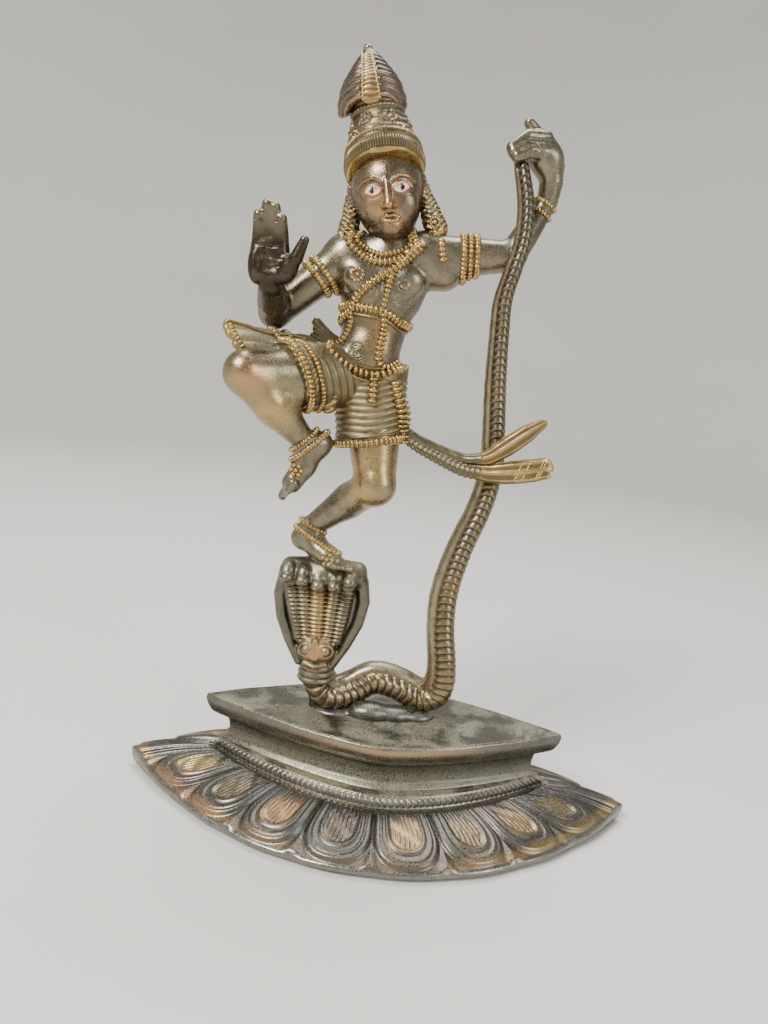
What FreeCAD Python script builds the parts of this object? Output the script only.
import FreeCAD, Part
import math
import os

# Brass figure of a dancer on a five-headed cobra, on a pointed-oval lotus pedestal.
# Millimetres. +Z up, -Y is the front, +X is the dancer's left. The origin is the centre
# of the pedestal's resting face.
V = FreeCAD.Vector
os.makedirs("parts", exist_ok=True)

# ---------------------------------------------------------------- driving dimensions
WALL = 3.2                  # wall of the hollow pedestal casting

BASE_LENGTH = 224.0         # tip to tip
BASE_DEPTH = 116.0
BASE_POWER = 2.1            # how full the pointed oval is
RIM_TOP_Z = 4.0
SKIRT_TOP_Z = 14.0
SKIRT_TOP_LENGTH = 150.0
SKIRT_TOP_DEPTH = 68.0
SKIRT_TOP_POWER = 1.8
BEAD_TOP_Z = 18.5
BEAD_TOP_LENGTH = 143.0
BEAD_TOP_DEPTH = 60.0
NECK_LENGTH = 138.0
NECK_DEPTH = 48.0
NECK_TOP_Z = 29.0
SLAB_LENGTH = 159.2
SLAB_DEPTH = 61.8
SLAB_POWER = 1.5
SLAB_UNDERCUT = 7.0         # how much shorter the slab's lower edge is
SLAB_TOP_Z = 39.5
TIP_RISE = 5.0              # height of the upturned tips of the lotus base
BEAD_FOOT_POWER = 1.75
BEAD_TOP_POWER = 1.7
HOLLOW_LENGTH = NECK_LENGTH - 4 * WALL      # the open inside of the neck and bead band
HOLLOW_DEPTH = NECK_DEPTH - 2 * WALL
RIM_UNDERCUT = 6.0          # how much shorter the resting face is than the rim

PETALS_PER_SIDE = 8
PETAL_LIFT = 1.7
PETAL_CORNERS = 16          # points on each petal's outline
PETAL_SPREAD = 0.86         # share of the base's half length that the petals cover

HOOD_CENTRE_X = -32.5
HOOD_BOTTOM_Z = 57.0
HOOD_TOP_Z = 104.0
HOOD_THICKNESS = 6.0
COBRA_COUNT = 5
COBRA_PITCH = 7.2           # between neighbouring necks at the top

TANG_RADIUS = 2.2
TANG_HEAD_RADIUS = 3.6
TANG_HEAD_HEIGHT = 1.8
TANG_PLACES = ((-31.5, -0.5), (11.5, -1.5))

HEAD_LEAN = 12.8            # degrees, towards the dancer's right
TORSO_LEAN = 4.0
HEAD_CENTRE = V(-22.4, -1.5, 253.0)
HEAD_HALF_WIDTH = 14.4
HEAD_HALF_DEPTH = 13.8
HEAD_HALF_HEIGHT = 16.5

# Body landmarks
NECK_BASE = V(-20.0, 0.0, 231.0)
SHOULDER_RIGHT = V(-36.0, 0.5, 231.0)
ELBOW_RIGHT = V(-62.0, -4.0, 205.5)
WRIST_RIGHT = V(-61.5, -19.0, 215.0)
SHOULDER_LEFT = V(-4.5, 0.5, 234.0)
ELBOW_LEFT = V(27.5, 2.5, 236.5)
WRIST_LEFT = V(39.5, 1.5, 259.0)
HIP_RIGHT = V(-32.0, -2.0, 183.0)
KNEE_RIGHT = V(-66.0, -25.0, 181.0)
ANKLE_RIGHT = V(-44.0, -15.5, 157.5)
HIP_LEFT = V(-20.0, 0.0, 178.0)
KNEE_LEFT = V(-15.5, -9.5, 142.0)
ANKLE_LEFT = V(-40.5, 2.0, 119.5)

# The serpent's centre line and radius, from the hood's foot along the slab and up to the hand
SERPENT_PATH = [
    (V(-31.5, -0.5, 46.4), 6.6), (V(-24.0, 0.0, 46.2), 6.4), (V(-15.0, 1.5, 48.5), 6.2),
    (V(-6.0, 2.5, 53.0), 6.0), (V(3.0, 1.0, 50.5), 6.0), (V(11.5, -1.5, 47.0), 6.2),
    (V(18.5, -3.0, 50.0), 6.2), (V(22.8, -3.5, 58.0), 6.0), (V(23.0, -3.5, 68.0), 5.8),
    (V(20.6, -3.5, 84.0), 5.5), (V(20.4, -3.5, 100.0), 5.2), (V(24.2, -3.5, 118.0), 5.0),
    (V(30.4, -3.5, 137.0), 4.8), (V(32.6, -3.5, 153.0), 4.5), (V(31.4, -3.5, 169.0), 4.3),
    (V(28.8, -3.8, 189.0), 4.0), (V(27.8, -4.5, 208.0), 3.6), (V(27.8, -5.5, 224.0), 3.3),
    (V(30.0, -7.0, 240.0), 3.1), (V(29.8, -7.5, 253.0), 2.9), (V(27.0, -7.0, 268.0), 2.6),
    (V(26.0, -5.5, 281.0), 2.0)]
COIL_END = 5
RISER_END = 13

shapes = {}


# ---------------------------------------------------------------- geometry helpers
def chain(points):
    """Round limb: spheres joined by tapered cones, fused into one solid."""
    solid = None
    for index, (centre, radius) in enumerate(points):
        ball = Part.makeSphere(radius, centre)
        solid = ball if solid is None else solid.fuse(ball)
        if index:
            start, start_radius = points[index - 1]
            along = centre - start
            if abs(start_radius - radius) < 0.02:
                cone = Part.makeCylinder(radius, along.Length, start, along)
            else:
                cone = Part.makeCone(start_radius, radius, along.Length, start, along)
            solid = solid.fuse(cone)
    return solid


def tube(path, first, last):
    """Smooth tapered tube lofted through circles square to a path, from one of its points to another."""
    wires = []
    for index in range(first, last + 1):
        centre, radius = path[index]
        before = path[max(index - 1, 0)][0]
        after = path[min(index + 1, len(path) - 1)][0]
        circle = Part.Circle(centre, after - before, radius)
        wires.append(Part.Wire([circle.toShape()]))
    return Part.makeLoft(wires, True, False)


def ellipsoid(centre, half_x, half_y, half_z, lean=0.0):
    """Ellipsoid whose own +Z leans towards -X by the given degrees."""
    stretch = FreeCAD.Matrix()
    stretch.scale(half_x, half_y, half_z)
    solid = Part.makeSphere(1.0).transformGeometry(stretch)
    solid.rotate(V(0, 0, 0), V(0, 1, 0), -lean)
    solid.translate(centre)
    return solid


def ellipse_wire(centre, half_x, half_y, lean=0.0):
    """Horizontal ellipse, its normal leaning towards -X by the given degrees."""
    if half_x >= half_y:
        edge = Part.Ellipse(V(0, 0, 0), half_x, half_y).toShape()
    else:
        edge = Part.Ellipse(V(0, half_y, 0), V(half_x, 0, 0), V(0, 0, 0)).toShape()
    wire = Part.Wire([edge])
    wire.rotate(V(0, 0, 0), V(0, 1, 0), -lean)
    wire.translate(centre)
    return wire


def stack(sections, lean=0.0):
    """Solid lofted through ellipses given as (centre, half_x, half_y)."""
    wires = [ellipse_wire(centre, half_x, half_y, lean) for centre, half_x, half_y in sections]
    return Part.makeLoft(wires, True, False)


def head_point(up, right=0.0, forward=0.0):
    """Point given along the leaning head axis, from the centre of the head."""
    angle = math.radians(HEAD_LEAN)
    x = right * math.cos(angle) - up * math.sin(angle)
    z = right * math.sin(angle) + up * math.cos(angle)
    return HEAD_CENTRE + V(x, -forward, z)


def between(start, end, share):
    return start + (end - start) * share


def cuff(start, end, share_from, share_to, radius_from, radius_to):
    """Short conical sleeve round a limb axis, to be trimmed by the limb."""
    low = between(start, end, share_from)
    high = between(start, end, share_to)
    along = high - low
    return Part.makeCone(radius_from, radius_to, along.Length, low, along)


def ring(centre, axis, radius, section):
    return Part.makeTorus(radius, section, centre, axis)


def oval_y(x, length, depth, power):
    """Half depth of a pointed oval at x."""
    return 0.5 * depth * (1.0 - abs(2.0 * x / length) ** power)


def oval_wire(length, depth, power, z, tip_rise=0.0):
    """Closed outline of a pointed oval: a front and a back curve that meet in two tips."""
    steps = 14
    front = []
    for index in range(steps + 1):
        x = -0.5 * length * math.cos(math.pi * index / steps)
        lift = tip_rise * abs(2.0 * x / length) ** 6
        front.append(V(x, -oval_y(x, length, depth, power), z + lift))
    back = [V(point.x, -point.y, point.z) for point in reversed(front)]
    edges = []
    for points in (front, back):
        curve = Part.BSplineCurve()
        curve.interpolate(points)
        edges.append(curve.toShape())
    return Part.Wire(edges)


def oval_shell(lower, upper):
    """Solid between two pointed ovals given as (length, depth, power, z)."""
    return Part.makeLoft([oval_wire(*lower), oval_wire(*upper)], True, True)


def solids_of(shape, smallest=0.05):
    kept = [solid for solid in shape.Solids if solid.Volume > smallest]
    return kept[0] if len(kept) == 1 else Part.makeCompound(kept)


def main_solid(shape):
    return max(shape.Solids, key=lambda solid: solid.Volume)


def place(name, shape, one_piece=True, beside=()):
    """Trim a new piece by every piece already placed, so that they meet face to face.

    The pieces named in beside share a whole face with it already and are left out.
    """
    for other_name, other in shapes.items():
        if other_name not in beside and shape.BoundBox.intersect(other.BoundBox):
            shape = shape.cut(other)
    shapes[name] = main_solid(shape) if one_piece else solids_of(shape)


# ---------------------------------------------------------------- pedestal
def make_pedestal():
    slab_low = (SLAB_LENGTH - 2 * SLAB_UNDERCUT, SLAB_DEPTH - SLAB_UNDERCUT, SLAB_POWER, NECK_TOP_Z)
    slab_high = (SLAB_LENGTH, SLAB_DEPTH, SLAB_POWER, SLAB_TOP_Z)
    pocket_low = (HOLLOW_LENGTH, HOLLOW_DEPTH, SLAB_POWER, NECK_TOP_Z - 1.0)
    pocket_high = (HOLLOW_LENGTH, HOLLOW_DEPTH, SLAB_POWER, SLAB_TOP_Z - WALL)
    slab = oval_shell(slab_low, slab_high).cut(oval_shell(pocket_low, pocket_high))

    neck_bottom_z = BEAD_TOP_Z
    neck_outer = oval_shell((NECK_LENGTH + 3, NECK_DEPTH + 4, SLAB_POWER, neck_bottom_z),
                            (NECK_LENGTH, NECK_DEPTH, SLAB_POWER, NECK_TOP_Z))
    neck_inner = oval_shell((HOLLOW_LENGTH, HOLLOW_DEPTH, SLAB_POWER, neck_bottom_z - 1),
                            (HOLLOW_LENGTH, HOLLOW_DEPTH, SLAB_POWER, NECK_TOP_Z + 1))
    neck = neck_outer.cut(neck_inner)

    hollow = oval_shell((HOLLOW_LENGTH, HOLLOW_DEPTH, SLAB_POWER, SKIRT_TOP_Z - 9),
                        (HOLLOW_LENGTH, HOLLOW_DEPTH, SLAB_POWER, BEAD_TOP_Z + 1))
    bead = oval_shell((SKIRT_TOP_LENGTH - 2, SKIRT_TOP_DEPTH - 2, BEAD_FOOT_POWER, SKIRT_TOP_Z),
                      (BEAD_TOP_LENGTH, BEAD_TOP_DEPTH, BEAD_TOP_POWER, BEAD_TOP_Z)).cut(hollow)

    skirt = Part.makeLoft([oval_wire(BASE_LENGTH - RIM_UNDERCUT, BASE_DEPTH - 0.5 * RIM_UNDERCUT, BASE_POWER, 0.0),
                           oval_wire(BASE_LENGTH, BASE_DEPTH, BASE_POWER, RIM_TOP_Z, TIP_RISE),
                           oval_wire(SKIRT_TOP_LENGTH, SKIRT_TOP_DEPTH, SKIRT_TOP_POWER, SKIRT_TOP_Z)], True, True)
    cavity_low = (BASE_LENGTH - 9 * WALL, BASE_DEPTH - 4 * WALL, BASE_POWER, -1.0)
    cavity_high = (HOLLOW_LENGTH, HOLLOW_DEPTH, SLAB_POWER, SKIRT_TOP_Z - WALL)
    base = skirt.cut(oval_shell(cavity_low, cavity_high)).cut(hollow)

    place("pedestal_slab", slab)
    place("pedestal_neck", neck)
    place("bead_band", bead)
    place("lotus_base", base)
    place("lotus_petals", Part.makeCompound(lotus_petals()), one_piece=False)


def skirt_point(share, climb, front):
    """Plan position on the petal skirt: share -1..1 along it, climb 0..1 up it."""
    low_x = 0.5 * BASE_LENGTH * share
    high_x = 0.5 * SKIRT_TOP_LENGTH * share
    low_y = oval_y(low_x, BASE_LENGTH, BASE_DEPTH, BASE_POWER)
    high_y = oval_y(high_x, SKIRT_TOP_LENGTH, SKIRT_TOP_DEPTH, SKIRT_TOP_POWER)
    x = low_x + (high_x - low_x) * climb
    y = low_y + (high_y - low_y) * climb
    return V(x, -y * front, 0.0)


def lotus_petals():
    """Raised petals, their round ends at the rim, along the front and the back of the skirt."""
    low = oval_wire(BASE_LENGTH - 6, BASE_DEPTH - 4, BASE_POWER, RIM_TOP_Z - 1.0)
    middle = oval_wire(BASE_LENGTH - 6, BASE_DEPTH - 4, BASE_POWER, RIM_TOP_Z + PETAL_LIFT, TIP_RISE)
    high = oval_wire(SKIRT_TOP_LENGTH + 4, SKIRT_TOP_DEPTH + 3, SKIRT_TOP_POWER, SKIRT_TOP_Z)
    raised = Part.makeLoft([low, middle, high], True, True).cut(shapes["lotus_base"])
    petals = []
    half = PETAL_SPREAD / PETALS_PER_SIDE
    for front in (1, -1):
        for number in range(PETALS_PER_SIDE):
            centre = -PETAL_SPREAD + half * (2 * number + 1)
            points = []
            for corner in range(PETAL_CORNERS):
                turn = 2 * math.pi * corner / PETAL_CORNERS
                points.append(skirt_point(centre + 0.92 * half * math.sin(turn), 0.47 - 0.42 * math.cos(turn), front))
            outline = Part.BSplineCurve()
            outline.interpolate(points, PeriodicFlag=True)
            face = Part.Face(Part.Wire([outline.toShape()]))
            petals.append(main_solid(raised.common(face.extrude(V(0, 0, SLAB_TOP_Z)))))
    return petals


# ---------------------------------------------------------------- dancer
def make_body():
    torso = stack([(V(-22.5, 0.0, 190.0), 15.5, 11.0), (V(-22.5, -0.5, 202.0), 12.6, 9.6),
                   (V(-21.5, -0.5, 212.0), 16.0, 10.8), (V(-20.8, 0.0, 222.0), 18.2, 11.6),
                   (V(-20.3, 0.5, 231.0), 17.2, 9.4), (V(-20.2, 0.5, 236.0), 9.0, 6.5)], TORSO_LEAN)
    place("torso", torso)
    pelvis = stack([(V(-22.5, 0.0, 174.0), 12.0, 10.0), (V(-23.5, 0.0, 181.0), 15.0, 11.6),
                    (V(-22.8, 0.0, 191.5), 15.4, 11.0)])
    place("pelvis", pelvis)
    place("neck", Part.makeCone(6.4, 6.0, 14.0, NECK_BASE, head_point(-12.0) - NECK_BASE))
    place("head", ellipsoid(HEAD_CENTRE, HEAD_HALF_WIDTH, HEAD_HALF_DEPTH, HEAD_HALF_HEIGHT, HEAD_LEAN))


def make_legs():
    place("left_thigh", chain([(HIP_LEFT, 11.0), (between(HIP_LEFT, KNEE_LEFT, 0.5), 10.2), (KNEE_LEFT, 7.8)]))
    place("left_shank", chain([(KNEE_LEFT, 7.2), (V(-24.0, -2.0, 133.5), 7.6), (ANKLE_LEFT, 4.9)]))
    place("left_foot", chain([(V(-42.5, 3.0, 114.5), 5.4), (V(-34.0, -3.5, 110.5), 5.0),
                              (V(-27.0, -8.5, 107.6), 4.3), (V(-21.5, -12.0, 106.0), 3.0)]))
    place("right_thigh", chain([(HIP_RIGHT, 11.0), (between(HIP_RIGHT, KNEE_RIGHT, 0.5), 10.6),
                                (KNEE_RIGHT, 8.2)]))
    place("right_shank", chain([(KNEE_RIGHT, 7.6), (V(-56.0, -21.0, 171.0), 8.0), (ANKLE_RIGHT, 5.0)]))
    place("right_foot", chain([(V(-38.5, -12.5, 156.0), 4.6), (V(-43.0, -15.0, 147.5), 4.5),
                               (V(-47.5, -17.0, 140.0), 3.9), (V(-50.5, -18.5, 134.5), 2.8)]))


def make_arms():
    place("right_upper_arm", chain([(SHOULDER_RIGHT, 8.2), (between(SHOULDER_RIGHT, ELBOW_RIGHT, 0.55), 6.8),
                                    (ELBOW_RIGHT, 6.2)]))
    place("right_forearm", chain([(ELBOW_RIGHT, 6.0), (WRIST_RIGHT, 4.6)]))
    palm = ellipsoid(V(-61.5, -22.5, 223.5), 7.0, 3.8, 8.6)
    fingers = []
    for number in range(4):
        root = V(-66.6 + 3.4 * number, -23.4, 226.0)
        tip = V(-65.4 + 2.3 * number, -26.0, 240.0 - 1.5 * abs(number - 1.6))
        fingers.append(chain([(root, 2.2), (tip, 1.7)]))
    thumb = chain([(V(-55.5, -22.5, 219.0), 2.9), (V(-50.5, -24.5, 223.0), 2.4), (V(-48.5, -25.0, 230.0), 1.8)])
    place("right_hand", palm.fuse(fingers).fuse(thumb))

    place("left_upper_arm", chain([(SHOULDER_LEFT, 8.2), (between(SHOULDER_LEFT, ELBOW_LEFT, 0.5), 6.8),
                                   (ELBOW_LEFT, 5.8)]))
    place("left_forearm", chain([(ELBOW_LEFT, 5.6), (WRIST_LEFT, 4.4)]))
    place("left_hand", left_hand())


def left_hand():
    """Hand raised beside the serpent's tail, its fingers bent over the tail."""
    hand = chain([(V(39.5, 1.0, 262.0), 4.6), (V(37.5, 0.0, 271.0), 5.6), (V(33.5, -1.5, 278.0), 4.8)])
    for number in range(4):
        height = 279.5 - 4.2 * number
        finger = chain([(V(35.5, -3.0, height - 1.0), 2.4), (V(28.0, -7.5, height), 2.3),
                        (V(22.5, -8.5, height - 2.5), 2.1)])
        hand = hand.fuse(finger)
    return hand


def make_crown():
    band = stack([(head_point(9.5), 15.4, 14.9), (head_point(13.0), 15.6, 15.1), (head_point(17.5), 13.6, 13.2)],
                 HEAD_LEAN)
    place("crown_headband", band)
    drum = stack([(head_point(17.5), 12.2, 11.8), (head_point(25.0), 9.8, 9.6), (head_point(30.0), 9.4, 9.2)],
                 HEAD_LEAN)
    place("crown_drum", drum)
    cap = stack([(head_point(30.0), 10.4, 10.2), (head_point(34.0), 13.0, 12.2), (head_point(41.0), 10.8, 10.4),
                 (head_point(48.0), 6.6, 6.4), (head_point(52.0), 2.2, 2.2)], HEAD_LEAN)
    knob = Part.makeSphere(1.9, head_point(52.0))
    place("crown_cap", cap.fuse(knob))
    strip = chain([(head_point(33.0, 0, 10.5), 2.9), (head_point(41.0, 0, 9.2), 2.7), (head_point(48.5, 0, 5.0), 2.0)])
    place("crown_front_strip", strip)


def make_head_trim():
    for name, side in (("right_earring", -1), ("left_earring", 1)):
        lock = chain([(head_point(2.0, 13.6 * side, -1.0), 2.6), (head_point(-6.0, 15.0 * side, -0.5), 3.2),
                      (head_point(-12.5, 16.0 * side, 0.0), 2.6)])
        place(name, lock)
    eyes = []
    for side in (-1, 1):
        eyes.append(ellipsoid(head_point(1.5, 5.4 * side, 12.4), 2.9, 1.2, 1.9, HEAD_LEAN))
    place("painted_eyes", Part.makeCompound(eyes), one_piece=False)


# ---------------------------------------------------------------- dress and jewellery
def make_jewellery():
    place("necklace", chain([(V(-33.0, -5.0, 237.5), 1.7), (V(-29.5, -9.8, 231.5), 1.7),
                             (V(-24.0, -11.6, 226.0), 1.9), (V(-17.0, -11.4, 226.5), 1.9),
                             (V(-10.5, -9.2, 232.5), 1.7), (V(-7.5, -5.0, 238.5), 1.7)]))
    place("sacred_thread", chain([(V(-6.0, -7.5, 234.5), 1.7), (V(-12.5, -11.8, 226.5), 1.7),
                                  (V(-22.0, -12.0, 217.0), 1.7), (V(-31.0, -10.0, 208.5), 1.7),
                                  (V(-35.5, -5.0, 200.0), 1.7), (V(-37.0, 2.0, 194.0), 1.7)]))
    place("chest_band", stack([(V(-22.0, -0.5, 205.0), 15.8, 12.0), (V(-21.9, -0.5, 208.6), 16.6, 12.3)], 4.0))
    place("hanging_cord", chain([(V(-17.5, -11.6, 203.5), 1.9), (V(-20.5, -11.8, 194.0), 1.9),
                                 (V(-16.0, -12.6, 187.5), 1.9), (V(-11.5, -11.0, 190.5), 1.9)]))
    place("waist_belt", stack([(V(-23.4, 0.0, 184.5), 16.8, 13.0), (V(-23.0, 0.0, 189.6), 17.2, 12.8)], 3.0))
    place("right_armlet", cuff(SHOULDER_RIGHT, ELBOW_RIGHT, 0.20, 0.42, 9.2, 8.4))
    place("left_armlet", cuff(SHOULDER_LEFT, ELBOW_LEFT, 0.42, 0.62, 8.8, 8.2))
    bangle_axis = WRIST_LEFT - ELBOW_LEFT
    bangles = []
    for share in (0.84, 0.96):
        bangles.append(ring(between(ELBOW_LEFT, WRIST_LEFT, share), bangle_axis, 4.9, 1.1))
    place("wrist_bangles", Part.makeCompound(bangles), one_piece=False)
    place("right_anklet", cuff(KNEE_RIGHT, ANKLE_RIGHT, 0.84, 0.98, 6.6, 6.4))
    place("left_anklet", cuff(KNEE_LEFT, ANKLE_LEFT, 0.84, 0.98, 6.8, 6.6))


def make_dress():
    wrap = stack([(V(-19.0, -3.0, 159.5), 14.6, 12.8), (V(-20.5, -1.0, 170.0), 14.4, 13.0),
                  (V(-22.5, 0.0, 184.5), 15.6, 12.6)])
    place("hip_wrap", wrap)
    place("wrap_hem", stack([(V(-18.6, -3.4, 156.6), 15.0, 13.2), (V(-18.9, -3.1, 160.0), 15.2, 13.3)]))
    pleats = None
    for number in range(6):
        share = number / 5.0
        waist = V(-36.0, -6.0 + 9.0 * share, 190.0 + 4.0 * share)
        hem = V(-57.0 - 17.0 * share, -25.0 + 11.0 * share, 188.5 + 9.0 * share ** 1.5)
        pleat = chain([(waist, 3.6), (hem, 3.2 - 0.9 * share)])
        pleats = pleat if pleats is None else pleats.fuse(pleat)
    place("skirt_flare", pleats)
    place("flare_hem", chain([(V(-58.5, -25.5, 190.5), 1.8), (V(-54.0, -26.5, 182.0), 1.8),
                              (V(-47.5, -21.5, 175.0), 1.8), (V(-42.0, -14.0, 171.5), 1.8)]))
    place("centre_tassel", chain([(V(-22.5, -12.5, 184.0), 2.4), (V(-23.5, -14.0, 172.0), 2.8)]))
    place("hip_tassel", chain([(V(-8.0, -6.0, 182.0), 2.6), (V(-5.5, -6.5, 172.0), 3.2), (V(-3.5, -6.0, 161.5), 2.6)]))
    place("sash_band", chain([(V(-2.5, -6.0, 163.0), 2.7), (V(9.5, -7.5, 157.0), 2.9), (V(22.0, -10.5, 155.0), 3.4),
                              (V(28.0, -11.5, 156.5), 3.6)]))
    place("sash_upper_tail", chain([(V(29.5, -12.0, 159.5), 3.0), (V(38.0, -12.5, 166.0), 3.4),
                                    (V(47.5, -12.5, 174.0), 2.2)]))
    place("sash_lower_tail", chain([(V(29.5, -12.0, 154.0), 3.0), (V(40.0, -12.5, 154.5), 3.6),
                                    (V(51.5, -12.5, 157.0), 2.6)]))


# ---------------------------------------------------------------- serpent
def make_serpent():
    outline = [V(-7.0, 0, HOOD_BOTTOM_Z), V(-14.5, 0, 74.0), V(-20.5, 0, 92.0), V(-17.0, 0, 101.0),
               V(0.0, 0, HOOD_TOP_Z), V(17.0, 0, 101.0), V(20.5, 0, 92.0), V(14.5, 0, 74.0),
               V(7.0, 0, HOOD_BOTTOM_Z)]
    rim = Part.BSplineCurve()
    rim.interpolate(outline)
    foot_line = Part.makeLine(outline[-1], outline[0])
    face = Part.Face(Part.Wire([rim.toShape(), foot_line]))
    plate = face.extrude(V(0, HOOD_THICKNESS, 0))
    plate.translate(V(HOOD_CENTRE_X, -0.5 * HOOD_THICKNESS, 0))
    place("hood_plate", plate)

    place("hood_mask", ellipsoid(V(HOOD_CENTRE_X, -3.5, 69.0), 6.8, 5.6, 9.0))
    necks = []
    heads = []
    for number in range(COBRA_COUNT):
        offset = number - (COBRA_COUNT - 1) / 2
        neck_top = V(HOOD_CENTRE_X + COBRA_PITCH * offset, -4.5, 96.5)
        neck_foot = V(HOOD_CENTRE_X + 0.5 * COBRA_PITCH * offset, -3.4, 74.0 - 2.0 * abs(offset))
        necks.append(chain([(neck_foot, 1.9), (neck_top, 2.9)]))
        muzzle = V(neck_top.x + 0.4 * offset, -11.0, 98.0)
        heads.append(chain([(neck_top + V(0, -1.0, 2.5), 3.3), (muzzle, 2.5)]))
    place("cobra_heads", Part.makeCompound(heads), one_piece=False)
    place("hood_necks", Part.makeCompound(necks), one_piece=False)

    place("serpent_coil", tube(SERPENT_PATH, 0, COIL_END))
    place("hood_collar", chain([(V(-31.8, -0.6, 46.9), 7.3), (V(-32.6, -0.8, 56.5), 7.2)]))
    place("serpent_riser", tube(SERPENT_PATH, COIL_END, RISER_END), beside=("serpent_coil",))
    place("serpent_tail", tube(SERPENT_PATH, RISER_END, len(SERPENT_PATH) - 1), beside=("serpent_riser",))


def make_joints():
    """Tangs of the serpent through the slab, peened under it, and the brazed fillet."""
    rivets = []
    for x, y in TANG_PLACES:
        shank = Part.makeCylinder(TANG_RADIUS, 3 * WALL, V(x, y, SLAB_TOP_Z - WALL - 1.0))
        peened = Part.makeCone(TANG_HEAD_RADIUS - 1, TANG_HEAD_RADIUS, TANG_HEAD_HEIGHT,
                               V(x, y, SLAB_TOP_Z - WALL - TANG_HEAD_HEIGHT))
        rivets.append(shank.fuse(peened))
    for name in ("pedestal_slab", "serpent_coil", "hood_collar", "serpent_riser"):
        for rivet in rivets:
            shapes[name] = shapes[name].cut(rivet)
        shapes[name] = main_solid(shapes[name])
    shapes["tang_rivets"] = Part.makeCompound(rivets)
    place("braze_fillet", ellipsoid(V(-7.0, -5.0, 42.0), 11.0, 6.0, 4.6))


make_pedestal()
make_body()
make_legs()
make_arms()
make_crown()
make_head_trim()
make_dress()
make_jewellery()
make_serpent()
make_joints()

for name, shape in shapes.items():
    shape.exportStep("parts/" + name + ".step")
    box = shape.BoundBox
    print("%-18s solids %2d valid %s volume %9.1f  X %7.1f %7.1f  Y %6.1f %6.1f  Z %6.1f %6.1f" % (
        name, len(shape.Solids), shape.isValid(), shape.Volume,
        box.XMin, box.XMax, box.YMin, box.YMax, box.ZMin, box.ZMax))
